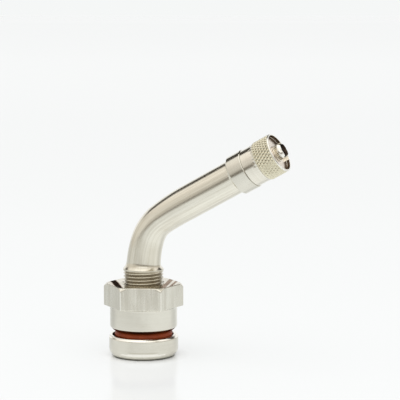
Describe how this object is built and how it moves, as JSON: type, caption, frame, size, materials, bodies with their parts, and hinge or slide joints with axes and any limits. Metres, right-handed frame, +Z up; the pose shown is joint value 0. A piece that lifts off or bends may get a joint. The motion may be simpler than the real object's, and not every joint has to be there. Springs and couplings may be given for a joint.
{
  "type": "tyre valve",
  "caption": "Bent clamp-in tyre valve: round foot, sealing ring, hexagon nut on a threaded neck, and a bent stem with a spring-loaded core under a screwed knurled cap.",
  "frame": {"origin": "centre of the foot's flat underside, on the neck's axis", "axes": "+Z up along the neck, +X the way the stem bends, in the XZ plane"},
  "size_m": [0.0467, 0.0192, 0.0553],
  "materials": {
    "nickel": "bright nickel plate on turned brass",
    "plated_alloy": "bright nickel plate on knurled light alloy",
    "brass": "plain turned brass",
    "red_rubber": "smooth moulded rubber",
    "black_rubber": "matt rubber",
    "white_seal": "smooth sealing plastic",
    "spring_steel": "drawn wire"
  },
  "bodies": {
    "stem": {"stem": "nickel", "o_ring": "red_rubber", "core_plug": "brass", "core_barrel": "brass", "core_gasket": "white_seal", "core_spring": "spring_steel"},
    "nut": {"nut": "nickel"},
    "pin": {"core_pin": "brass", "core_cup": "brass", "core_cup_seal": "black_rubber"},
    "cap_seal": {"cap_seal": "black_rubber"},
    "cap": {"cap_shell": "plated_alloy"}
  },
  "joints": [
    {"name": "nut_travel", "type": "slide", "parent": "stem", "child": "nut", "axis": [0, 0, 1], "range_m": [0, 0.006]},
    {"name": "pin_press", "type": "slide", "parent": "stem", "child": "pin", "axis": [-0.8746, 0, -0.4848], "range_m": [0, 0.0013], "stiffness_N_per_m": 400, "deforming": ["core_spring"]},
    {"name": "cap_travel", "type": "slide", "parent": "stem", "child": "cap_seal", "axis": [0.8746, 0, 0.4848], "range_m": [0, 0.00556]},
    {"name": "cap_turn", "type": "hinge", "parent": "cap_seal", "child": "cap", "pos_m": [0.03255, 0, 0.04973], "axis": [0.8746, 0, 0.4848], "range_deg": [0, 2520]}
  ],
  "couplings": [
    {"joint": "cap_turn", "follows": "cap_travel", "rad_per_m": 7913.3}
  ]
}
